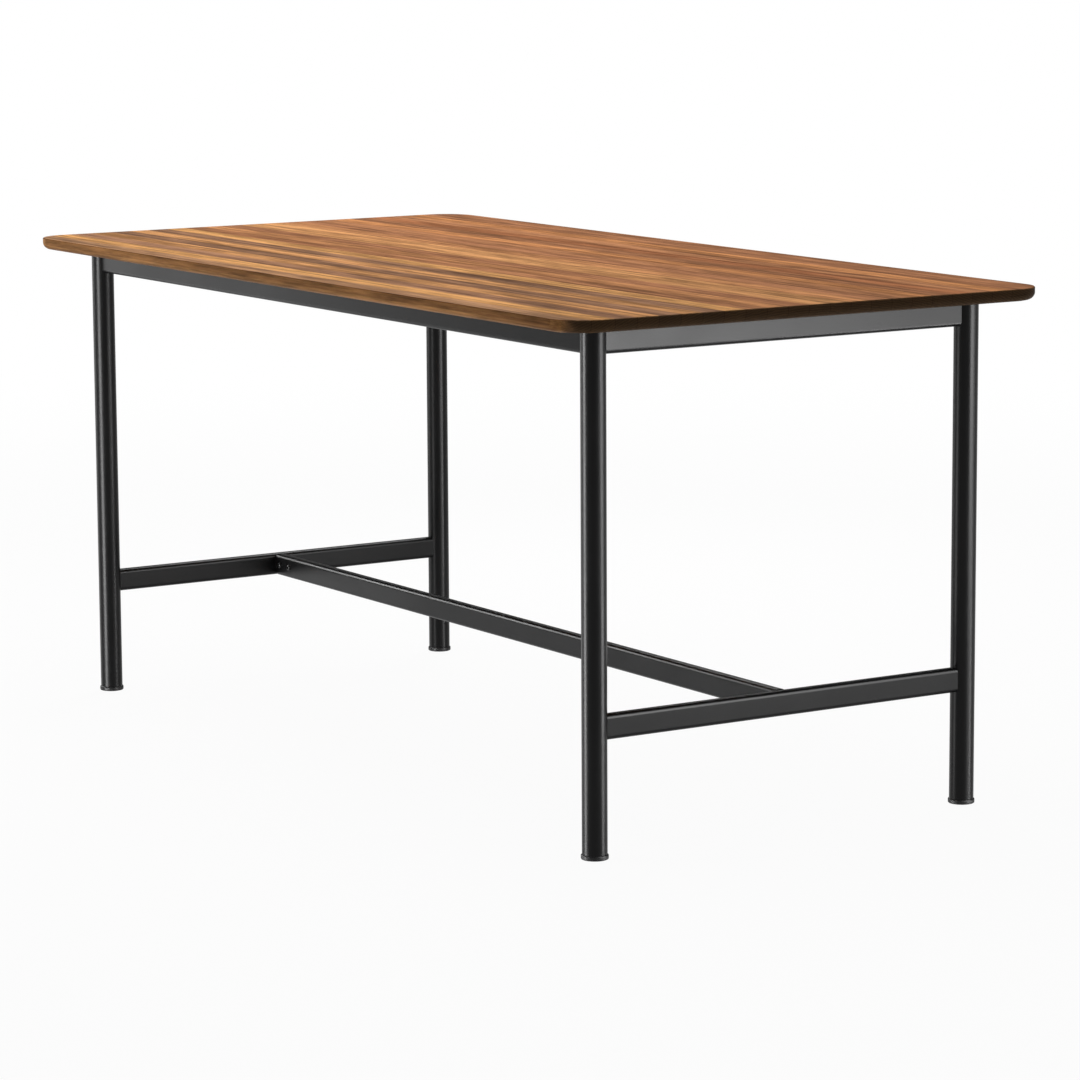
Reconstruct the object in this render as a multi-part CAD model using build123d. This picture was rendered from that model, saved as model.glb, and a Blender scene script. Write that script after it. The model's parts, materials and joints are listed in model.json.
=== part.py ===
from build123d import *
import math
import os

# Butcher block table: a glued-up stave top on a welded tube frame with a screwed-in centre stretcher
# and levelling feet. Millimetres. +X runs along the table, +Y from its front to its rear, +Z is up.
# The origin is on the floor, under the middle of the top.

# Top: its edge stands upright for a short way under the eased arris, then rounds under
TABLE_LENGTH = 1600.0
TABLE_WIDTH = 800.0
TABLE_HEIGHT = 740.0
TOP_THICKNESS = 18.0
TOP_CORNER_RADIUS = 55.0
TOP_ARRIS_EASE = 1.0
TOP_EDGE_FLAT = 6.0
STAVE_TARGET_WIDTH = 35.0

# Legs, with the axis of each leg measured in from the edges of the top
LEG_DIAMETER = 35.0
LEG_WALL = 1.5
LEG_END_INSET = 80.0
LEG_SIDE_INSET = 87.0

# Aprons and stretchers are cut from one flat-sided tube
RAIL_HEIGHT = 35.0
RAIL_THICKNESS = 18.0
RAIL_WALL = 1.5
RAIL_CORNER_RADIUS = 6.0
STRETCHER_CENTRE_HEIGHT = 180.0
COPE_GAP = 0.1

# Corner plates and tabs between the frame and the wood
PLATE_THICKNESS = 2.5
PLATE_REACH = 110.0
PLATE_TIP_RADIUS = 4.0
PLATE_HOLE_FROM_EDGE = 17.5
PLATE_HOLE_FROM_TIP = 30.0
PLATE_HOLE_FROM_RAIL = 16.0
PLATE_HOLE_CLEARANCE = 0.5
TAB_LENGTH = 40.0
TAB_REACH = 34.0
TAB_CORNER_RADIUS = 6.0
TAB_HOLE_INSET = 16.0
TAB_SLOT_TRAVEL = 5.0
TAB_FROM_MIDDLE = 270.0

# Machine screws that hold the top, and the inserts they bite in
TOP_SCREW_DIAMETER = 6.0
TOP_SCREW_SHORT_OF_END = 2.0
TOP_HEAD_DIAMETER = 12.0
TOP_HEAD_HEIGHT = 3.6
TOP_HEAD_LAND = 2.2
TOP_SOCKET_FLATS = 4.0
TOP_SOCKET_DEPTH = 2.2
INSERT_DIAMETER = 10.0
INSERT_LENGTH = 11.0
INSERT_BORE_FIT = 0.05
INSERT_WOOD_FIT = 0.05

# Spigots in the ends of the centre stretcher, and the screws through its front side
SPIGOT_PAST_SCREWS = 16.0
SPIGOT_WALL = 3.0
SPIGOT_FIT = 0.2
STRETCHER_SCREW_DIAMETER = 5.0
STRETCHER_HEAD_DIAMETER = 9.5
STRETCHER_HEAD_HEIGHT = 2.7
STRETCHER_HEAD_LAND = 0.55
STRETCHER_SOCKET_FLATS = 3.0
STRETCHER_SOCKET_DEPTH = 1.6
STRETCHER_SCREW_FIRST = 13.0
STRETCHER_SCREW_PITCH = 31.0
STRETCHER_SCREW_PROUD = 1.0
STRETCHER_HOLE_CLEARANCE = 0.2
TAPPED_HOLE_FIT = 0.05

# Levelling feet: a pad, a stud captured in it, and a barbed insert in the tube end
FOOT_HEIGHT = 7.0
FOOT_RIM = 1.5
FOOT_FLOOR_RADIUS = 1.6
FOOT_TOP_RADIUS = 2.2
FOOT_FLOOR_THICKNESS = 2.0
STUD_DIAMETER = 8.0
STUD_LENGTH = 34.0
STUD_TIP_CHAMFER = 1.0
STUD_HEAD_DIAMETER = 16.0
STUD_HEAD_HEIGHT = 2.4
STUD_PLAY = 0.3
STUD_THREAD_FIT = 0.05
HEX_FLATS = 13.0
HEX_HEIGHT = 5.0
HEX_CLEARANCE = 0.5
PLUG_LENGTH = 26.0
PLUG_TUBE_FIT = 0.1
PLUG_BARBS = 4
PLUG_BARB_DEPTH = 1.2
PLUG_BARB_LAND = 4.5

# How far a cutting block stands past what it cuts
CUT_MARGIN = 20.0

# Heights and places that follow from the sizes above
TOP_UNDERSIDE = TABLE_HEIGHT - TOP_THICKNESS
TOP_UNDER_RADIUS = TOP_THICKNESS - TOP_ARRIS_EASE - TOP_EDGE_FLAT
FRAME_TOP = TOP_UNDERSIDE - PLATE_THICKNESS
APRON_CENTRE_HEIGHT = FRAME_TOP - RAIL_HEIGHT / 2
LEG_RADIUS = LEG_DIAMETER / 2
LEG_X = TABLE_LENGTH / 2 - LEG_END_INSET
LEG_Y = TABLE_WIDTH / 2 - LEG_SIDE_INSET
RAIL_HALF = RAIL_THICKNESS / 2
RAIL_FLAT_HALF = RAIL_HALF - RAIL_CORNER_RADIUS
STRETCHER_END_X = LEG_X - RAIL_HALF
STRETCHER_FRONT = -RAIL_HALF
SPIGOT_LENGTH = STRETCHER_SCREW_FIRST + STRETCHER_SCREW_PITCH + SPIGOT_PAST_SCREWS
PLATE_HOLE_DIAMETER = TOP_SCREW_DIAMETER + 2 * PLATE_HOLE_CLEARANCE
TOP_SCREW_LENGTH = PLATE_THICKNESS + INSERT_LENGTH - TOP_SCREW_SHORT_OF_END
FOOT_RADIUS = LEG_RADIUS + FOOT_RIM

# Every corner of the table: its name, and the signs of X and Y there
CORNERS = {
    "front_left": (-1, -1),
    "front_right": (1, -1),
    "rear_left": (-1, 1),
    "rear_right": (1, 1),
}

parts = {}


def rod(radius, low, high, x=0.0, y=0.0):
    """An upright round bar between two heights."""
    return Pos(x, y, (low + high) / 2) * Cylinder(radius, high - low)


def socket_head(diameter, height, land, flats, depth):
    """A screw head that stands on z = 0 and points up, rounded above its land, with a hexagon socket."""
    head = rod(diameter / 2, 0, height)
    head = fillet(head.faces().sort_by(Axis.Z)[-1].edges(), height - land)
    socket = RegularPolygon(flats / 2, 6, major_radius=False)
    return head - Pos(0, 0, height - depth) * extrude(socket, depth)


def rail_section(grow=0.0):
    """The flat-sided tube's outline, thickness along X and height along Y, grown by a margin."""
    return RectangleRounded(
        RAIL_THICKNESS + 2 * grow,
        RAIL_HEIGHT + 2 * grow,
        RAIL_CORNER_RADIUS + grow,
    )


def rail(start, end):
    """A length of the tube, level and centred on the line from start to end."""
    path = Vector(*end) - Vector(*start)
    along = path.normalized()
    plane = Plane(origin=start, x_dir=Vector(0, 0, 1).cross(along), z_dir=along)
    wall = rail_section() - rail_section(-RAIL_WALL)
    return extrude(plane * wall, path.length)


def coped_rail(start, end):
    """A rail between two legs, its ends cut to the curve of the tubes they are welded to."""
    bar = rail(start, end)
    for x, y, z in (start, end):
        bar -= rod(LEG_RADIUS + COPE_GAP, z - RAIL_HEIGHT, z + RAIL_HEIGHT, x, y)
    return bar


# Legs
leg = rod(LEG_RADIUS, FOOT_HEIGHT, FRAME_TOP) - rod(LEG_RADIUS - LEG_WALL, FOOT_HEIGHT, FRAME_TOP)
for corner, (sx, sy) in CORNERS.items():
    parts[f"leg_{corner}"] = Pos(sx * LEG_X, sy * LEG_Y, 0) * leg

# Aprons and end stretchers, coped onto the legs
for side, sy in (("front", -1), ("rear", 1)):
    y = sy * LEG_Y
    parts[f"apron_{side}"] = coped_rail((-LEG_X, y, APRON_CENTRE_HEIGHT), (LEG_X, y, APRON_CENTRE_HEIGHT))
for side, sx in (("left", -1), ("right", 1)):
    x = sx * LEG_X
    for name, z in (("apron", APRON_CENTRE_HEIGHT), ("end_stretcher", STRETCHER_CENTRE_HEIGHT)):
        parts[f"{name}_{side}"] = coped_rail((x, -LEG_Y, z), (x, LEG_Y, z))

# Spigots welded to the end stretchers: the tube's inner outline, hollowed out from the rear
hollow_height = RAIL_HEIGHT - 2 * (RAIL_WALL + SPIGOT_FIT + SPIGOT_WALL)
hollow_front = STRETCHER_FRONT + RAIL_WALL + SPIGOT_FIT + SPIGOT_WALL
spigot = extrude(
    Plane(origin=(0, 0, 0), x_dir=(0, 1, 0), z_dir=(1, 0, 0)) * rail_section(-RAIL_WALL - SPIGOT_FIT),
    SPIGOT_LENGTH,
)
spigot -= Pos(SPIGOT_LENGTH / 2, hollow_front + RAIL_THICKNESS / 2, 0) * Box(
    SPIGOT_LENGTH + CUT_MARGIN, RAIL_THICKNESS, hollow_height
)

# Centre stretcher, slid over the spigots, and the button-head screws through its front side
screw_radius = STRETCHER_SCREW_DIAMETER / 2
shank_length = RAIL_WALL + SPIGOT_FIT + SPIGOT_WALL + STRETCHER_SCREW_PROUD
screw_hole = Rot(90, 0, 0) * Cylinder(screw_radius + STRETCHER_HOLE_CLEARANCE, RAIL_THICKNESS)
tapped_hole = Rot(90, 0, 0) * Cylinder(screw_radius + TAPPED_HOLE_FIT, RAIL_THICKNESS)
button_screw = rod(screw_radius, -shank_length, 0) + socket_head(
    STRETCHER_HEAD_DIAMETER,
    STRETCHER_HEAD_HEIGHT,
    STRETCHER_HEAD_LAND,
    STRETCHER_SOCKET_FLATS,
    STRETCHER_SOCKET_DEPTH,
)
stretcher = rail(
    (-STRETCHER_END_X, 0, STRETCHER_CENTRE_HEIGHT),
    (STRETCHER_END_X, 0, STRETCHER_CENTRE_HEIGHT),
)
stretcher_screws = []
for side, sx in (("left", -1), ("right", 1)):
    end_x = sx * STRETCHER_END_X
    handed = spigot if sx < 0 else mirror(spigot, Plane.YZ)
    handed = Pos(end_x, 0, STRETCHER_CENTRE_HEIGHT) * handed
    for along in (STRETCHER_SCREW_FIRST, STRETCHER_SCREW_FIRST + STRETCHER_SCREW_PITCH):
        place = Pos(end_x - sx * along, STRETCHER_FRONT, STRETCHER_CENTRE_HEIGHT)
        stretcher -= place * screw_hole
        handed -= place * tapped_hole
        stretcher_screws.append(place * Rot(90, 0, 0) * button_screw)
    parts[f"stretcher_spigot_{side}"] = handed
parts["centre_stretcher"] = stretcher
parts["stretcher_screws"] = Compound(children=stretcher_screws)

# Corner plates on the leg tops, drawn for the front left leg and mirrored to the others
web = Polygon(
    (-RAIL_FLAT_HALF, -RAIL_FLAT_HALF),
    (PLATE_REACH, -RAIL_FLAT_HALF),
    (PLATE_REACH, RAIL_HALF),
    (RAIL_HALF, PLATE_REACH),
    (-RAIL_FLAT_HALF, PLATE_REACH),
    align=None,
)
web = fillet(web.vertices().filter_by(lambda v: max(v.X, v.Y) > LEG_RADIUS), PLATE_TIP_RADIUS)
middle_hole = (PLATE_REACH + RAIL_HALF) / 2 - PLATE_HOLE_FROM_EDGE
tip_hole = PLATE_REACH - PLATE_HOLE_FROM_TIP
side_hole = RAIL_HALF + PLATE_HOLE_FROM_RAIL
plate_holes = ((middle_hole, middle_hole), (tip_hole, side_hole), (side_hole, tip_hole))
plate_outline = web + Circle(LEG_RADIUS)
for hole_x, hole_y in plate_holes:
    plate_outline -= Pos(hole_x, hole_y) * Circle(PLATE_HOLE_DIAMETER / 2)
corner_plate = extrude(plate_outline, PLATE_THICKNESS)

# Tabs along the long aprons, slotted across the grain so that the wood can move
tab_width = RAIL_FLAT_HALF + RAIL_HALF + TAB_REACH
slot_y = tab_width - TAB_HOLE_INSET
tab_outline = Pos(0, tab_width / 2) * Rectangle(TAB_LENGTH, tab_width)
tab_outline = fillet(tab_outline.vertices().group_by(Axis.Y)[-1], TAB_CORNER_RADIUS)
tab_outline -= Pos(0, slot_y) * Rot(0, 0, 90) * SlotCenterToCenter(TAB_SLOT_TRAVEL, PLATE_HOLE_DIAMETER)
top_tab = extrude(tab_outline, PLATE_THICKNESS)

# Plates and tabs at each corner, and the places of the screws that come up through them
screw_places = []
for corner, (sx, sy) in CORNERS.items():
    plate = corner_plate if sx < 0 else mirror(corner_plate, Plane.YZ)
    plate = plate if sy < 0 else mirror(plate, Plane.XZ)
    parts[f"corner_plate_{corner}"] = Pos(sx * LEG_X, sy * LEG_Y, FRAME_TOP) * plate
    for hole_x, hole_y in plate_holes:
        screw_places.append((sx * (LEG_X - hole_x), sy * (LEG_Y - hole_y)))
    tab = top_tab if sy < 0 else mirror(top_tab, Plane.XZ)
    tab_x = sx * TAB_FROM_MIDDLE
    tab_y = LEG_Y + RAIL_FLAT_HALF
    parts[f"top_tab_{corner}"] = Pos(tab_x, sy * tab_y, FRAME_TOP) * tab
    screw_places.append((tab_x, sy * (tab_y - slot_y)))

# Machine screws up through the plates and tabs, and their inserts in the wood
top_head = socket_head(TOP_HEAD_DIAMETER, TOP_HEAD_HEIGHT, TOP_HEAD_LAND, TOP_SOCKET_FLATS, TOP_SOCKET_DEPTH)
top_screw = Rot(180, 0, 0) * top_head + rod(TOP_SCREW_DIAMETER / 2, 0, TOP_SCREW_LENGTH)
top_insert = rod(INSERT_DIAMETER / 2, 0, INSERT_LENGTH)
top_insert -= rod(TOP_SCREW_DIAMETER / 2 + INSERT_BORE_FIT, 0, INSERT_LENGTH)
parts["top_screws"] = Compound(children=[Pos(x, y, FRAME_TOP) * top_screw for x, y in screw_places])
parts["top_inserts"] = Compound(children=[Pos(x, y, TOP_UNDERSIDE) * top_insert for x, y in screw_places])

# Top: one slab with its edge rounded under and its arris eased, bored for the inserts
slab = Pos(0, 0, TOP_UNDERSIDE) * extrude(
    RectangleRounded(TABLE_LENGTH, TABLE_WIDTH, TOP_CORNER_RADIUS), TOP_THICKNESS
)
slab = fillet(slab.faces().sort_by(Axis.Z)[0].edges(), TOP_UNDER_RADIUS)
slab = chamfer(slab.faces().sort_by(Axis.Z)[-1].edges(), TOP_ARRIS_EASE)
for x, y in screw_places:
    slab -= rod(INSERT_DIAMETER / 2 + INSERT_WOOD_FIT, TOP_UNDERSIDE, TOP_UNDERSIDE + INSERT_LENGTH, x, y)

# The slab is ripped from the front into equal staves that meet face to face
stave_count = round(TABLE_WIDTH / STAVE_TARGET_WIDTH)
stave_width = TABLE_WIDTH / stave_count
unripped = slab
for index in range(1, stave_count):
    cut = Plane(origin=(0, index * stave_width - TABLE_WIDTH / 2, 0), z_dir=(0, 1, 0))
    parts[f"top_stave_{index:02d}"] = split(unripped, cut, keep=Keep.BOTTOM)
    unripped = split(unripped, cut, keep=Keep.TOP)
parts[f"top_stave_{stave_count:02d}"] = unripped

# Foot pad, with a pocket for the stud's head and a neck that holds the head in
pocket_radius = STUD_HEAD_DIAMETER / 2 + STUD_PLAY
pocket_top = FOOT_FLOOR_THICKNESS + STUD_HEAD_HEIGHT + STUD_PLAY
foot_pad = rod(FOOT_RADIUS, 0, FOOT_HEIGHT)
foot_pad = fillet(foot_pad.faces().sort_by(Axis.Z)[0].edges(), FOOT_FLOOR_RADIUS)
foot_pad = fillet(foot_pad.faces().sort_by(Axis.Z)[-1].edges(), FOOT_TOP_RADIUS)
foot_pad -= rod(pocket_radius, FOOT_FLOOR_THICKNESS, pocket_top)
foot_pad -= rod(STUD_DIAMETER / 2 + STUD_PLAY, pocket_top, FOOT_HEIGHT)

# Foot stud: a head that turns in the pocket, a hexagon for a spanner, and the threaded length
hex_bottom = FOOT_HEIGHT + STUD_PLAY
hex_top = hex_bottom + HEX_HEIGHT
foot_stud = rod(STUD_DIAMETER / 2, FOOT_FLOOR_THICKNESS, hex_top + STUD_LENGTH)
foot_stud = chamfer(foot_stud.faces().sort_by(Axis.Z)[-1].edges(), STUD_TIP_CHAMFER)
foot_stud += rod(STUD_HEAD_DIAMETER / 2, FOOT_FLOOR_THICKNESS, FOOT_FLOOR_THICKNESS + STUD_HEAD_HEIGHT)
foot_stud += Pos(0, 0, hex_bottom) * extrude(
    RegularPolygon(HEX_FLATS / 2, 6, major_radius=False), HEX_HEIGHT
)

# Barbed insert: a revolved outline with a saw-tooth side and a recess that clears the hexagon
plug_radius = LEG_RADIUS - LEG_WALL - PLUG_TUBE_FIT
plug_top = FOOT_HEIGHT + PLUG_LENGTH
barb_pitch = PLUG_LENGTH / PLUG_BARBS
thread_radius = STUD_DIAMETER / 2 + STUD_THREAD_FIT
recess_radius = HEX_FLATS / math.sqrt(3) + HEX_CLEARANCE
recess_top = hex_top + HEX_CLEARANCE
plug_outline = [(recess_radius, FOOT_HEIGHT)]
for barb in range(PLUG_BARBS):
    barb_base = FOOT_HEIGHT + barb * barb_pitch
    plug_outline.append((plug_radius, barb_base))
    plug_outline.append((plug_radius, barb_base + PLUG_BARB_LAND))
    plug_outline.append((plug_radius - PLUG_BARB_DEPTH, barb_base + barb_pitch))
plug_outline.append((thread_radius, plug_top))
plug_outline.append((thread_radius, recess_top))
plug_outline.append((recess_radius, recess_top))
foot_insert = revolve(Plane.XZ * make_face(Polyline(*plug_outline, close=True)), Axis.Z)

for corner, (sx, sy) in CORNERS.items():
    place = Pos(sx * LEG_X, sy * LEG_Y, 0)
    parts[f"foot_pad_{corner}"] = place * foot_pad
    parts[f"foot_stud_{corner}"] = place * foot_stud
    parts[f"foot_insert_{corner}"] = place * foot_insert

os.makedirs("parts", exist_ok=True)
for name, shape in parts.items():
    export_step(shape, f"parts/{name}.step")
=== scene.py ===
import json
import math
from typing import NamedTuple

import bpy
from mathutils import Matrix, Vector


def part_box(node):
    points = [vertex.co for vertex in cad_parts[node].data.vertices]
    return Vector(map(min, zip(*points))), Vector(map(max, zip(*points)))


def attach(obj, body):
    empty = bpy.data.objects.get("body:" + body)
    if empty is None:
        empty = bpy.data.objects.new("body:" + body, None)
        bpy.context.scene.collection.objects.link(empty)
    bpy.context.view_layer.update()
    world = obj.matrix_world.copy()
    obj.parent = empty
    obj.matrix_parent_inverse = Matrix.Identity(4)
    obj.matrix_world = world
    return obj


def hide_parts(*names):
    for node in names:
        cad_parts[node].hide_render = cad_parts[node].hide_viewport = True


# Butcher block table, in metres, in the CAD model's frame: +X along the table, +Y to its rear, +Z up.

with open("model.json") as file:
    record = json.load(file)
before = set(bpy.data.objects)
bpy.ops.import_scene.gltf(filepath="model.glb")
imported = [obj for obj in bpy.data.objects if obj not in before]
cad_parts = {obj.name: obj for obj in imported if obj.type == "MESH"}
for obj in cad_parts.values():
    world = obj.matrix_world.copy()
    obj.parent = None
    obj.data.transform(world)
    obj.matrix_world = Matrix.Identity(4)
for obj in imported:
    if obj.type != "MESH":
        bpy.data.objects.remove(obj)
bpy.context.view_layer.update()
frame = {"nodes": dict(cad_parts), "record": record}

MILLIMETRE = 0.001
CORNERS = ("front_left", "front_right", "rear_left", "rear_right")
WHITE = (1.0, 1.0, 1.0, 1.0)

# Camera, matched to the photo
CAMERA_PLACE = Vector((5.35646, -3.34853, 1.31682))
CAMERA_YAW = math.radians(57.528)
CAMERA_PITCH = math.radians(-9.0303)
CAMERA_ROLL = math.radians(-0.3134)
CAMERA_LENS = 140.19
CAMERA_SENSOR = 36.0

# Floor: the share of its colour that is plain white grows from the near radius to the far one
FLOOR_HALF = 60.0
FLOOR_COLOUR = (0.60, 0.60, 0.60, 1.0)
FLOOR_GLOW_NEAR = 0.955
FLOOR_GLOW_NEAR_RADIUS = 1.2
FLOOR_GLOW_FAR_RADIUS = 5.0

# White around the table, and the dim world behind the lamps
SURROUND_DEPTH = 2.0
SURROUND_GLOW = 0.8
BACKDROP_RADIUS = 50.0
BACKDROP_STEPS = 18
WORLD_COLOUR = (0.05, 0.05, 0.051, 1.0)


class Noise(NamedTuple):
    """Features per metre along X, Y and Z, a seed of its own, and how fine and how rough it is."""

    scale: tuple
    seed: float
    detail: float = 3.0
    rough: float = 0.5


# Wood tones as they stand on the top, in linear colour
TONES = {
    "honey": (0.60, 0.305, 0.115),
    "tan": (0.52, 0.255, 0.105),
    "fawn": (0.395, 0.215, 0.115),
    "orange": (0.48, 0.21, 0.085),
    "amber": (0.46, 0.21, 0.09),
    "chestnut": (0.355, 0.16, 0.075),
    "brown": (0.325, 0.145, 0.07),
    "russet": (0.335, 0.135, 0.06),
    "walnut": (0.31, 0.16, 0.09),
    "umber": (0.285, 0.15, 0.085),
}
# The tone of each stave, from the front edge to the rear
STAVE_TONES = (
    "fawn honey walnut tan umber tan umber honey chestnut amber brown tan tan amber brown chestnut "
    "orange brown russet chestnut orange brown brown"
).split()
STAVE_SEED_STEP = 31.7

# Long grain: what it is made of, the share of each, and the factor on the tone from dark grain to light
SWAY = Noise((2.6, 9, 9), seed=3, detail=2.0)
DRIFT = Noise((2.4, 14, 14), seed=0)
STREAKS = Noise((2.3, 105, 105), seed=5, detail=5.0, rough=0.60)
DASHES = Noise((10, 140, 140), seed=7, detail=4.0, rough=0.65)
FIBRES = Noise((14, 900, 900), seed=9)
PORES = Noise((45, 1900, 1900), seed=13, detail=1.0)
HEART = Noise((1.5, 46, 46), seed=17, detail=4.0, rough=0.6)
GRAIN_SWAY = 7.0 * MILLIMETRE
DRIFT_SHARE = 0.18
STREAK_SHARE = 0.34
DASH_SHARE = 0.38
FIBRE_SHARE = 0.10
GRAIN_TONES = ((0.435, 0.56), (0.48, 0.86), (0.52, 1.13), (0.565, 1.50))
HEART_TINT = (0.50, 0.44, 0.44, 1.0)
PORE_TINT = (0.42, 0.36, 0.32, 1.0)
PORE_DEPTH = 0.45
PORE_RELIEF = -0.8

# End grain: one dark tone with a little of the stave's own, and the factor on it across a growth ring
END_TONE = (0.18, 0.105, 0.05)
END_TONE_SHARE = 0.65
STAVE_TONE_SHARE = 0.03
RING_TONES = ((0.0, 0.82), (0.6, 1.0), (1.0, 1.18))
RING_STRETCH = (4, 1, 1)
RING_SCALE = 95.0

# Long edges: a tint with painted light on them, their darker eased arris, and the glue lines
SIDE_PAINTED_LIGHT_TINT = (1.15, 1.03, 0.68, 1.0)
ARRIS_TINT = (0.36, 0.30, 0.26, 1.0)
GLUE_TINT = (0.35, 0.28, 0.24, 1.0)
GLUE_LINE_HALF = 0.25 * MILLIMETRE

# Finish of the metal and the nylon
PEEL = Noise((620, 620, 620), seed=1, detail=2.0)
HAZE = Noise((9, 9, 9), seed=4, detail=4.0)
MOTTLE = Noise((420, 420, 420), seed=2, detail=4.0)
CAST = Noise((160, 160, 160), seed=3)
TURNING_MARKS = Noise((120, 120, 5200), seed=6, detail=2.0)
SPARK = Noise((2400, 2400, 2400), seed=7, detail=2.0)
SCUFFS = Noise((300, 300, 900), seed=8, detail=4.0)

# Foot stud: an M8 thread, a chamfered hexagon and a turned head
STUD_SEGMENTS = 36
THREAD_PITCH = 1.25 * MILLIMETRE
THREAD_CREST = 3.98 * MILLIMETRE
THREAD_ROOT = 3.28 * MILLIMETRE
THREAD_TIP_EASE = 1.0 * MILLIMETRE
# Share of one pitch, and the radius there
THREAD_PROFILE = (
    (0.0, THREAD_ROOT),
    (0.375, THREAD_CREST),
    (0.5, THREAD_CREST),
    (0.875, THREAD_ROOT),
    (1.0, THREAD_ROOT),
)
HEX_FLATS = 13.0 * MILLIMETRE
HEX_LOW = 7.3 * MILLIMETRE
HEX_HIGH = 12.3 * MILLIMETRE
HEX_CHAMFER = math.radians(30)
HEAD_RADIUS = 8.0 * MILLIMETRE
HEAD_HEIGHT = 2.4 * MILLIMETRE
HEAD_EASE = 0.4 * MILLIMETRE
SHARP_ANGLE = math.radians(35)


class Nodes:
    """Adds nodes to one material. A socket among the inputs is linked, and any other value is set."""

    def __init__(self, name):
        self.material = bpy.data.materials.new(name)
        self.material.use_nodes = True
        self.tree = self.material.node_tree
        self.tree.nodes.clear()

    def add(self, kind, inputs, **settings):
        made = self.tree.nodes.new("ShaderNode" + kind)
        for key, value in settings.items():
            setattr(made, key, value)
        for key, value in inputs.items():
            if isinstance(value, bpy.types.NodeSocket):
                self.tree.links.new(value, made.inputs[key])
            else:
                made.inputs[key].default_value = value
        return made.outputs

    def place(self):
        return self.add("TexCoord", {})["Object"]

    def stretch(self, vector, scale):
        return self.add("Mapping", {"Vector": vector, "Scale": scale})["Vector"]

    def noise(self, vector, kind, seed=0.0):
        """Noise from 0 to 1."""
        inputs = {
            "Vector": self.stretch(vector, kind.scale),
            "W": seed + kind.seed,
            "Scale": 1.0,
            "Detail": kind.detail,
            "Roughness": kind.rough,
        }
        return self.add("TexNoise", inputs, noise_dimensions="4D")["Fac"]

    def math(self, operation, first, second=0.0, third=0.0, clamp=False):
        inputs = {0: first, 1: second, 2: third}
        return self.add("Math", inputs, operation=operation, use_clamp=clamp)["Value"]

    def length(self, vector):
        return self.add("VectorMath", {0: vector}, operation="LENGTH")["Value"]

    def step(self, value, low, high, start=0.0, end=1.0):
        """A smooth step from start to end while value goes from low to high."""
        inputs = {"Value": value, "From Min": low, "From Max": high, "To Min": start, "To Max": end}
        return self.add("MapRange", inputs, interpolation_type="SMOOTHSTEP")["Result"]

    def ramp(self, value, stops):
        made = self.tree.nodes.new("ShaderNodeValToRGB")
        self.tree.links.new(value, made.inputs["Fac"])
        bar = made.color_ramp.elements
        while len(bar) < len(stops):
            bar.new(0.5)
        for element, (position, colour) in zip(bar, stops):
            element.position = position
            element.color = (*colour, 1.0)
        return made.outputs["Color"]

    def blend(self, kind, factor, first, second):
        inputs = {0: factor, 6: first, 7: second}
        return self.add("Mix", inputs, data_type="RGBA", blend_type=kind)[2]

    def bump(self, height, distance, strength):
        inputs = {"Height": height, "Distance": distance, "Strength": strength}
        return self.add("Bump", inputs)["Normal"]

    def glow(self, strength):
        return self.add("Emission", {"Color": WHITE, "Strength": strength})["Emission"]

    def show(self, surface):
        self.add("OutputMaterial", {"Surface": surface})
        return self.material

    def finish(self, **inputs):
        named = {key.replace("_", " "): value for key, value in inputs.items()}
        return self.show(self.add("BsdfPrincipled", named)["BSDF"])


def shade(colour, factor):
    return tuple(min(1.0, channel * factor) for channel in colour)


def shades(colour, factors):
    return [(position, shade(colour, factor)) for position, factor in factors]


def long_grain(kit, place, tone, seed):
    """The colour along the grain, with its fibres and pores."""
    # The grain wanders a few millimetres to either side as it runs along the stave
    sway = kit.math("SUBTRACT", kit.noise(place, SWAY, seed), 0.5)
    sway = kit.add("CombineXYZ", {"Y": kit.math("MULTIPLY", sway, GRAIN_SWAY)})["Vector"]
    swayed = kit.add("VectorMath", {0: place, 1: sway}, operation="ADD")["Vector"]

    fibres = kit.noise(swayed, FIBRES, seed)
    grain = kit.math("MULTIPLY", kit.noise(place, DRIFT, seed), DRIFT_SHARE)
    grain = kit.math("MULTIPLY_ADD", kit.noise(swayed, STREAKS, seed), STREAK_SHARE, grain)
    grain = kit.math("MULTIPLY_ADD", kit.noise(swayed, DASHES, seed), DASH_SHARE, grain)
    grain = kit.math("MULTIPLY_ADD", fibres, FIBRE_SHARE, grain)
    colour = kit.ramp(grain, shades(tone, GRAIN_TONES))

    heart = kit.step(kit.noise(swayed, HEART, seed), low=0.54, high=0.66, end=0.50)
    colour = kit.blend("MULTIPLY", heart, colour, HEART_TINT)
    pores = kit.step(kit.noise(swayed, PORES, seed), low=0.60, high=0.72)
    colour = kit.blend("MULTIPLY", kit.math("MULTIPLY", pores, PORE_DEPTH), colour, PORE_TINT)
    return colour, fibres, pores


def end_grain(kit, place, tone, seed):
    """The colour of the ends, which are darker, with the growth rings cut across."""
    inputs = {
        "Vector": kit.stretch(place, RING_STRETCH),
        "Scale": RING_SCALE,
        "Distortion": 4.0,
        "Detail": 2.0,
        "Detail Scale": 1.2,
        "Phase Offset": seed,
    }
    rings = kit.add("TexWave", inputs, wave_type="RINGS", rings_direction="X")["Fac"]
    cut = tuple(END_TONE_SHARE * end + STAVE_TONE_SHARE * own for end, own in zip(END_TONE, tone))
    return kit.ramp(rings, shades(cut, RING_TONES))


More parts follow.
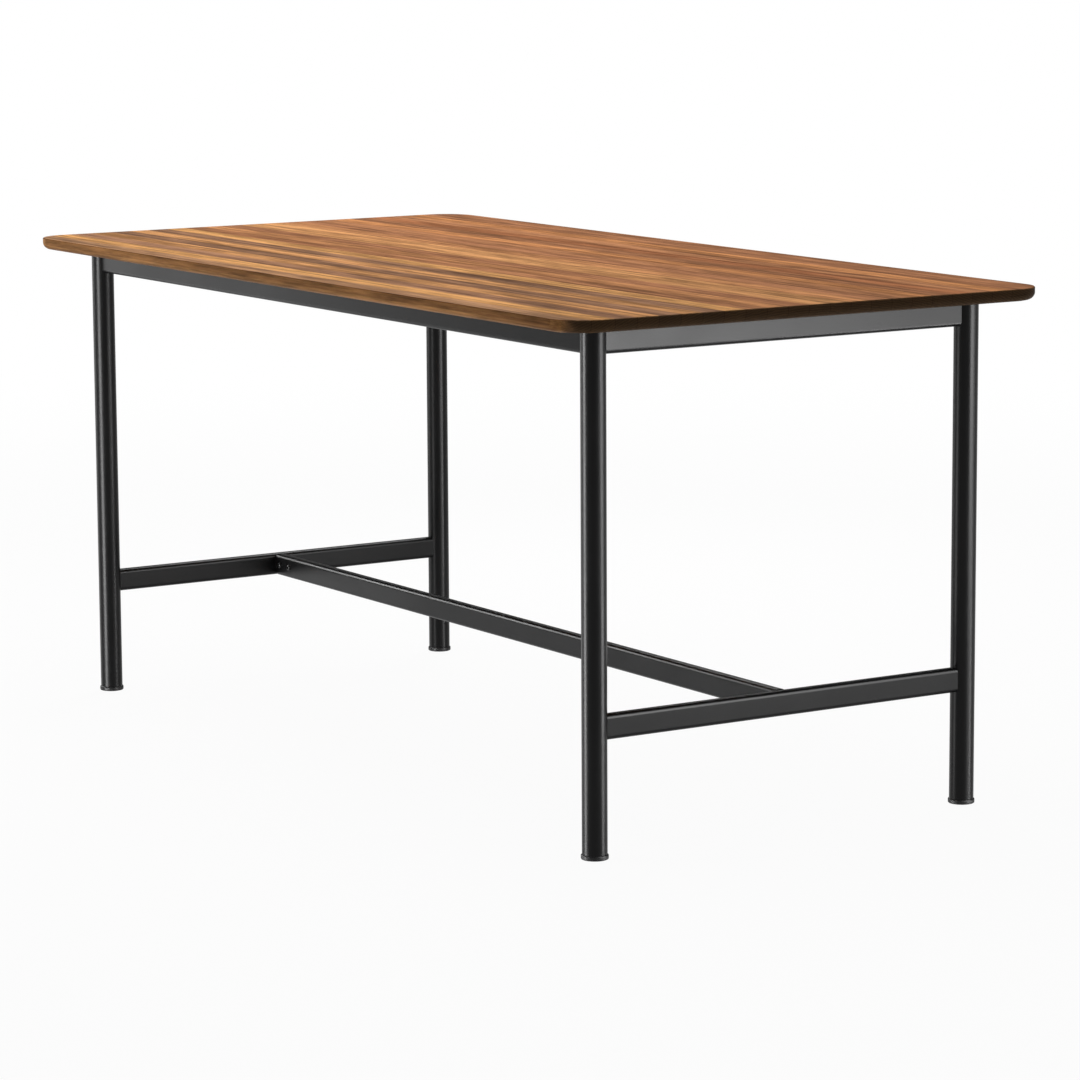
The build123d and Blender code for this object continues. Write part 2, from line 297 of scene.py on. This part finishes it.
def wood(name, tone, seed, front, rear):
    """Oiled wood with its grain along X, for the stave that lies between two glue lines on Y."""
    kit = Nodes(name)
    place = kit.place()
    facing = kit.add("SeparateXYZ", {"Vector": kit.add("NewGeometry", {})["Normal"]})
    sideward = kit.math("ABSOLUTE", facing["Y"])
    upward = kit.math("MAXIMUM", facing["Z"], 0.0)

    # How far a face is turned to the end of the stave, where a slope downward makes no difference
    outward = kit.add("CombineXYZ", {"X": facing["X"], "Y": facing["Y"], "Z": upward})["Vector"]
    outward = kit.math("MAXIMUM", kit.length(outward), 0.05)
    endward = kit.math("DIVIDE", kit.math("ABSOLUTE", facing["X"]), outward)
    end_share = kit.step(endward, low=0.35, high=0.8)
    along, fibres, pores = long_grain(kit, place, tone, seed)
    colour = kit.blend("MIX", end_share, along, end_grain(kit, place, tone, seed))

    # Painted light: the long edge faces get a warmer tint that stands in for how the light falls on them
    side = kit.step(sideward, low=0.3, high=0.9)
    side = kit.math("MULTIPLY", side, kit.math("SUBTRACT", 1.0, end_share))
    colour = kit.blend("MULTIPLY", side, colour, SIDE_PAINTED_LIGHT_TINT)
    # The eased arris of the long edges is darker
    arris = kit.step(kit.math("MULTIPLY", upward, sideward), low=0.25, high=0.45, end=0.85)
    colour = kit.blend("MULTIPLY", arris, colour, ARRIS_TINT)

    # A fine dark glue line where the stave meets its neighbours
    across = kit.add("SeparateXYZ", {"Vector": place})["Y"]
    from_middle = kit.math("ABSOLUTE", kit.math("SUBTRACT", across, (front + rear) / 2))
    half = (rear - front) / 2
    glue = kit.step(from_middle, half - 2 * GLUE_LINE_HALF, half - GLUE_LINE_HALF, end=0.5)
    colour = kit.blend("MULTIPLY", glue, colour, GLUE_TINT)

    relief = kit.math("MULTIPLY_ADD", pores, PORE_RELIEF, fibres)
    return kit.finish(
        Base_Color=colour,
        Roughness=kit.step(fibres, low=0.2, high=0.8, start=0.42, end=0.56),
        Specular_IOR_Level=0.025,
        Normal=kit.bump(relief, distance=0.12 * MILLIMETRE, strength=0.5),
    )


def powder_coat(name):
    """Satin black paint with a faint orange peel."""
    kit = Nodes(name)
    place = kit.place()
    peel = kit.noise(place, PEEL)
    haze = kit.noise(place, HAZE)
    return kit.finish(
        Base_Color=kit.ramp(haze, [(0.3, (0.006, 0.006, 0.0065)), (0.7, (0.010, 0.010, 0.0105))]),
        Roughness=kit.step(haze, low=0.25, high=0.75, start=0.28, end=0.34),
        Specular_IOR_Level=0.16,
        Normal=kit.bump(peel, distance=0.05 * MILLIMETRE, strength=0.12),
    )


def black_oxide(name):
    """Oil-black steel of the screws."""
    kit = Nodes(name)
    mottle = kit.noise(kit.place(), MOTTLE)
    return kit.finish(
        Base_Color=kit.ramp(mottle, [(0.3, (0.009, 0.009, 0.0095)), (0.7, (0.016, 0.016, 0.0155))]),
        Roughness=kit.step(mottle, low=0.3, high=0.7, start=0.26, end=0.36),
        Specular_IOR_Level=0.5,
        Normal=kit.bump(mottle, distance=0.03 * MILLIMETRE, strength=0.3),
    )


def zinc_plate(name):
    """Bright zinc on steel, with turning marks and a slight blue and straw cast."""
    kit = Nodes(name)
    place = kit.place()
    marks = kit.noise(place, TURNING_MARKS)
    blue = (0.52, 0.55, 0.60)
    grey = (0.60, 0.60, 0.60)
    straw = (0.62, 0.58, 0.50)
    return kit.finish(
        Base_Color=kit.ramp(kit.noise(place, CAST), [(0.35, blue), (0.5, grey), (0.65, straw)]),
        Metallic=1.0,
        Roughness=kit.step(marks, low=0.3, high=0.7, start=0.24, end=0.40),
        Normal=kit.bump(marks, distance=0.02 * MILLIMETRE, strength=0.35),
    )


def nylon(name):
    """Black moulded nylon with a fine spark texture and scuffs."""
    kit = Nodes(name)
    place = kit.place()
    spark = kit.noise(place, SPARK)
    scuffs = kit.step(kit.noise(place, SCUFFS), low=0.58, high=0.72)
    return kit.finish(
        Base_Color=kit.blend("MIX", scuffs, (0.011, 0.011, 0.012, 1.0), (0.022, 0.022, 0.023, 1.0)),
        Roughness=kit.step(spark, low=0.3, high=0.7, start=0.38, end=0.52),
        Specular_IOR_Level=0.3,
        Normal=kit.bump(spark, distance=0.03 * MILLIMETRE, strength=0.4),
    )


def mesh_piece(name, points, faces, material):
    mesh = bpy.data.meshes.new(name)
    mesh.from_pydata(points, [], faces)
    mesh.validate()
    mesh.polygons.foreach_set("use_smooth", [True] * len(mesh.polygons))
    mesh.set_sharp_from_angle(angle=SHARP_ANGLE)
    mesh.materials.append(material)
    piece = bpy.data.objects.new(name, mesh)
    bpy.context.scene.collection.objects.link(piece)
    return piece


def loft(points, faces, rings):
    """Adds rings of equal length to a mesh and joins each to the next."""
    count = len(rings[0])
    start = len(points)
    for ring in rings:
        points.extend(ring)
    for row in range(len(rings) - 1):
        for column in range(count):
            after = (column + 1) % count
            low = start + row * count
            faces.append((low + column, low + after, low + count + after, low + count + column))


def around(centre, radius, angle, height):
    return centre + Vector((radius * math.cos(angle), radius * math.sin(angle), height))


def turned(centre, outline):
    """Rings for a turned shape: each point of the outline is a radius and a height."""
    angles = [2 * math.pi * index / STUD_SEGMENTS for index in range(STUD_SEGMENTS)]
    return [[around(centre, radius, angle, height) for angle in angles] for radius, height in outline]


def hexagon(centre):
    """Rings for a hexagon with both ends turned to a 30 degree chamfer."""
    inner = HEX_FLATS / 2
    rings = [[], [], [], []]
    for index in range(STUD_SEGMENTS):
        angle = 2 * math.pi * index / STUD_SEGMENTS
        off_flat = (angle + math.pi / 6) % (math.pi / 3) - math.pi / 6
        radius = inner / math.cos(off_flat)
        drop = (radius - inner) * math.tan(HEX_CHAMFER)
        heights = (HEX_LOW, HEX_LOW + drop, HEX_HIGH - drop, HEX_HIGH)
        radii = (inner, radius, radius, inner)
        for ring, ring_radius, height in zip(rings, radii, heights):
            ring.append(around(centre, ring_radius, angle, height))
    return rings


def thread(points, faces, centre, low, high):
    """A right-hand thread: one strip wound from low to high, cut flat at both ends, eased at its tip."""
    turns = math.ceil((high - low) / THREAD_PITCH) + 1
    start = len(points)
    steps = turns * STUD_SEGMENTS
    for step in range(steps + 1):
        angle = 2 * math.pi * step / STUD_SEGMENTS
        base = low + THREAD_PITCH * (step / STUD_SEGMENTS - 1)
        for share, radius in THREAD_PROFILE:
            height = min(max(base + THREAD_PITCH * share, low), high)
            radius = min(radius, THREAD_CREST - THREAD_TIP_EASE + high - height)
            points.append(around(centre, radius, angle, height))
    width = len(THREAD_PROFILE)
    for step in range(steps):
        for column in range(width - 1):
            first = start + step * width + column
            faces.append((first, first + width, first + width + 1, first + 1))


def foot_stud(corner, material):
    """The levelling stud of one foot: turned head, hexagon and thread."""
    node = f"foot_stud_{corner}"
    low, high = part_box(node)
    centre = Vector(((low.x + high.x) / 2, (low.y + high.y) / 2, 0.0))
    head_top = low.z + HEAD_HEIGHT
    head = (
        (0.0, low.z),
        (HEAD_RADIUS - HEAD_EASE, low.z),
        (HEAD_RADIUS, low.z + HEAD_EASE),
        (HEAD_RADIUS, head_top - HEAD_EASE),
        (HEAD_RADIUS - HEAD_EASE, head_top),
        (THREAD_CREST, head_top),
        (THREAD_CREST, HEX_LOW),
        (HEX_FLATS / 2, HEX_LOW),
    )
    points, faces = [], []
    loft(points, faces, turned(centre, head))
    loft(points, faces, hexagon(centre))
    loft(points, faces, turned(centre, ((HEX_FLATS / 2, HEX_HIGH), (THREAD_ROOT, HEX_HIGH))))
    thread(points, faces, centre, HEX_HIGH, high.z)
    loft(points, faces, turned(centre, ((THREAD_CREST - THREAD_TIP_EASE, high.z), (0.0, high.z))))
    stud = mesh_piece(f"stud_{corner}", points, faces, material)
    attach(stud, f"stud_{corner}")
    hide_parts(node)


def paint(node, material):
    mesh = frame["nodes"][node].data
    mesh.materials.clear()
    mesh.materials.append(material)


def paint_table():
    slots = {
        "frame_black": powder_coat("powder_coat"),
        "black_screws": black_oxide("black_oxide"),
        "zinc_steel": zinc_plate("zinc_plate"),
        "foot_plastic": nylon("nylon"),
    }
    for row in frame["record"]["subparts"]:
        if row["material_slot"] in slots:
            paint(row["node"], slots[row["material_slot"]])
    for index, tone in enumerate(STAVE_TONES, 1):
        node = f"top_stave_{index:02d}"
        low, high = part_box(node)
        seed = STAVE_SEED_STEP * index
        paint(node, wood(f"wood_{index:02d}", TONES[tone], seed, low.y, high.y))
    for corner in CORNERS:
        foot_stud(corner, slots["zinc_steel"])


def floor_material():
    """A pale floor that shows white, still takes a soft shadow, and is clear from below."""
    kit = Nodes("pale_floor")
    path = kit.add("LightPath", {})
    seen = kit.math("ADD", path["Is Camera Ray"], path["Is Glossy Ray"])
    seen = kit.math("ADD", seen, path["Is Transmission Ray"], clamp=True)
    away = kit.length(kit.place())
    share = kit.step(away, FLOOR_GLOW_NEAR_RADIUS, FLOOR_GLOW_FAR_RADIUS, start=FLOOR_GLOW_NEAR)
    share = kit.math("MULTIPLY", seen, share)
    lit = kit.add("BsdfDiffuse", {"Color": FLOOR_COLOUR})["BSDF"]
    surface = kit.add("MixShader", {0: share, 1: lit, 2: kit.glow(1.0)})["Shader"]
    clear = kit.add("BsdfTransparent", {})["BSDF"]
    below = kit.add("NewGeometry", {})["Backfacing"]
    return kit.show(kit.add("MixShader", {0: below, 1: surface, 2: clear})["Shader"])


def make_floor():
    """One quarter of floor under each foot, which goes down with that foot. They lie level at rest."""
    material = floor_material()
    for corner in CORNERS:
        low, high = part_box(f"foot_pad_{corner}")
        far_x = math.copysign(FLOOR_HALF, low.x + high.x)
        far_y = math.copysign(FLOOR_HALF, low.y + high.y)
        points = [(0.0, far_y, low.z), (0.0, 0.0, low.z), (far_x, 0.0, low.z), (far_x, far_y, low.z)]
        if far_x * far_y < 0:
            points.reverse()
        floor = mesh_piece(f"floor_{corner}", points, [(0, 1, 2, 3)], material)
        floor.visible_glossy = False
        floor.visible_shadow = False
        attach(floor, f"pad_{corner}")


def make_surround():
    """The white that gloss sees in place of the floor, so deep that the cards can reach below the floor."""
    kit = Nodes("white_surround")
    material = kit.show(kit.glow(SURROUND_GLOW))
    signs = ((-1, -1), (1, -1), (1, 1), (-1, 1))
    points = [(x * FLOOR_HALF, y * FLOOR_HALF, -SURROUND_DEPTH) for x, y in signs]
    surround = mesh_piece("surround", points, [(0, 1, 2, 3)], material)
    surround.visible_camera = False
    surround.visible_diffuse = False
    surround.visible_shadow = False


def make_backdrop():
    """The white all round that only the camera sees, above the horizon and under the floor."""
    kit = Nodes("white_backdrop")
    material = kit.show(kit.glow(1.0))
    material.cycles.emission_sampling = "NONE"
    outline = []
    for step in range(BACKDROP_STEPS + 1):
        angle = math.pi * (step / BACKDROP_STEPS - 0.5)
        outline.append((BACKDROP_RADIUS * math.cos(angle), BACKDROP_RADIUS * math.sin(angle)))
    points, faces = [], []
    loft(points, faces, turned(Vector((0.0, 0.0, 0.0)), outline))
    backdrop = mesh_piece("backdrop", points, faces, material)
    backdrop.visible_diffuse = False
    backdrop.visible_glossy = False
    backdrop.visible_transmission = False
    backdrop.visible_shadow = False


def softbox(name, place, target, size, radiance, diffuse=True, gloss=True):
    """An area lamp of the given width, height and radiance that faces the target."""
    width, height = size
    lamp = bpy.data.lights.new(name, "AREA")
    lamp.shape = "RECTANGLE"
    lamp.size = width
    lamp.size_y = height
    lamp.energy = radiance * math.pi * width * height
    lamp.cycles.use_multiple_importance_sampling = gloss
    box = bpy.data.objects.new(name, lamp)
    box.location = place
    box.rotation_euler = (Vector(target) - Vector(place)).to_track_quat("-Z", "Y").to_euler()
    box.visible_camera = False
    box.visible_diffuse = diffuse
    box.visible_glossy = gloss
    bpy.context.scene.collection.objects.link(box)
    return box


def flag(name, nodes):
    """Pieces that the light of a card is held off, as a flag does in a studio."""
    held_off = bpy.data.collections.new(name)
    for node in nodes:
        held_off.objects.link(frame["nodes"][node])
    for member in held_off.collection_objects:
        member.light_linking.link_state = "EXCLUDE"
    return held_off


def make_cards():
    """Cards that show only in gloss, and are all held off the wood."""
    staves = [f"top_stave_{index:02d}" for index in range(1, len(STAVE_TONES) + 1)]
    rear_legs = ["leg_rear_left", "leg_rear_right"]
    stretchers = ["end_stretcher_left", "end_stretcher_right", "centre_stretcher"]
    off_wood = flag("off_wood", staves)
    off_front_apron = flag("off_front_apron", [*staves, "apron_front"])
    off_right_apron = flag("off_right_apron", [*staves, "apron_right"])
    off_rear_legs = flag("off_rear_legs", [*staves, "apron_front", *rear_legs])
    off_stretchers = flag("off_stretchers", [*staves, *stretchers])

    def card(name, place, target, size, radiance, held=off_wood):
        box = softbox(name, place, target, size, radiance, diffuse=False)
        box.light_linking.receiver_collection = held

    # On the left, with a dimmer card just behind the first for the rear legs too
    card(
        "left_card",
        place=(-0.39, -2.17, 0.05),
        target=(-0.10, 0.0, 0.05),
        size=(0.80, 1.4),
        radiance=17.5,
        held=off_rear_legs,
    )
    card(
        "left_dim_card",
        place=(-0.40, -2.22, 0.05),
        target=(-0.10, 0.0, 0.05),
        size=(0.80, 1.4),
        radiance=5.0,
        held=off_front_apron,
    )
    card(
        "left_high_card",
        place=(-2.5, -1.25, 1.25),
        target=(-0.4, -0.3, 1.25),
        size=(0.95, 0.90),
        radiance=17.0,
        held=off_front_apron,
    )
    card(
        "left_low_card",
        place=(-2.6, -1.02, -0.25),
        target=(-0.5, -0.07, -0.25),
        size=(0.9, 0.7),
        radiance=1.0,
    )

    # On the right: two pairs, one card above the other, and two low cards that reach below the floor
    card(
        "right_card",
        place=(2.52, 0.83, 0.425),
        target=(1.71, 0.235, 0.425),
        size=(0.60, 0.65),
        radiance=17.5,
    )
    card(
        "right_high_card",
        place=(2.52, 0.83, 1.275),
        target=(1.71, 0.235, 1.275),
        size=(0.60, 1.05),
        radiance=22.0,
    )
    card(
        "right_far_card",
        place=(2.10, 1.39, 0.425),
        target=(1.30, 0.80, 0.425),
        size=(0.80, 0.65),
        radiance=8.0,
    )
    card(
        "right_far_high_card",
        place=(2.10, 1.39, 1.275),
        target=(1.30, 0.80, 1.275),
        size=(0.80, 1.05),
        radiance=12.0,
        held=off_right_apron,
    )
    card(
        "right_low_card",
        place=(2.28, 1.15, -0.25),
        target=(0.72, 0.0, -0.25),
        size=(1.40, 0.7),
        radiance=1.5,
    )
    card(
        "right_strip",
        place=(2.06, 1.45, -0.25),
        target=(1.255, 0.857, -0.25),
        size=(0.42, 0.7),
        radiance=20.5,
        held=off_stretchers,
    )

    # Behind the table
    card(
        "rear_low_card",
        place=(-2.3, 1.7, 0.40),
        target=(0.0, 0.2, 0.40),
        size=(3.2, 0.6),
        radiance=0.15,
    )
    card(
        "rear_edge_card",
        place=(-1.58, 1.02, 1.74),
        target=(-0.72, 0.0, 0.25),
        size=(1.0, 0.8),
        radiance=8.0,
    )


def make_lights():
    softbox(
        "left_fill",
        place=(-2.5, -1.25, 0.5),
        target=(-0.4, -0.3, 0.5),
        size=(0.8, 0.8),
        radiance=1.58,
    )
    softbox(
        "front_fill",
        place=(-1.2, -2.6, 0.9),
        target=(-0.2, -0.4, 0.6),
        size=(1.2, 0.9),
        radiance=7.0,
        gloss=False,
    )
    softbox(
        "rear_left",
        place=(-1.6, 1.3, 1.4),
        target=(-0.4, 0.2, 0.74),
        size=(1.0, 1.0),
        radiance=7.5,
        gloss=False,
    )
    softbox(
        "overhead",
        place=(-0.2, 0.1, 2.9),
        target=(-0.1, 0.0, 0.0),
        size=(3.2, 2.6),
        radiance=2.7,
    )
    world = bpy.data.worlds.new("studio")
    world.use_nodes = True
    world.node_tree.nodes["Background"].inputs["Color"].default_value = WORLD_COLOUR
    bpy.context.scene.world = world


def make_camera():
    data = bpy.data.cameras.new("photo_camera")
    data.lens = CAMERA_LENS
    data.sensor_width = CAMERA_SENSOR
    data.clip_end = 4 * FLOOR_HALF
    forward = Vector(
        (
            -math.sin(CAMERA_YAW) * math.cos(CAMERA_PITCH),
            math.cos(CAMERA_YAW) * math.cos(CAMERA_PITCH),
            math.sin(CAMERA_PITCH),
        )
    )
    level = Vector((math.cos(CAMERA_YAW), math.sin(CAMERA_YAW), 0.0))
    upright = level.cross(forward)
    right = math.cos(CAMERA_ROLL) * level + math.sin(CAMERA_ROLL) * upright
    up = right.cross(forward)
    turn = Matrix((right, up, -forward)).transposed().to_4x4()
    camera = bpy.data.objects.new("photo_camera", data)
    camera.matrix_world = Matrix.Translation(CAMERA_PLACE) @ turn
    bpy.context.scene.collection.objects.link(camera)
    bpy.context.scene.camera = camera


paint_table()
make_floor()
make_surround()
make_backdrop()
make_cards()
make_lights()
make_camera()
bpy.context.scene.view_settings.view_transform = "Standard"
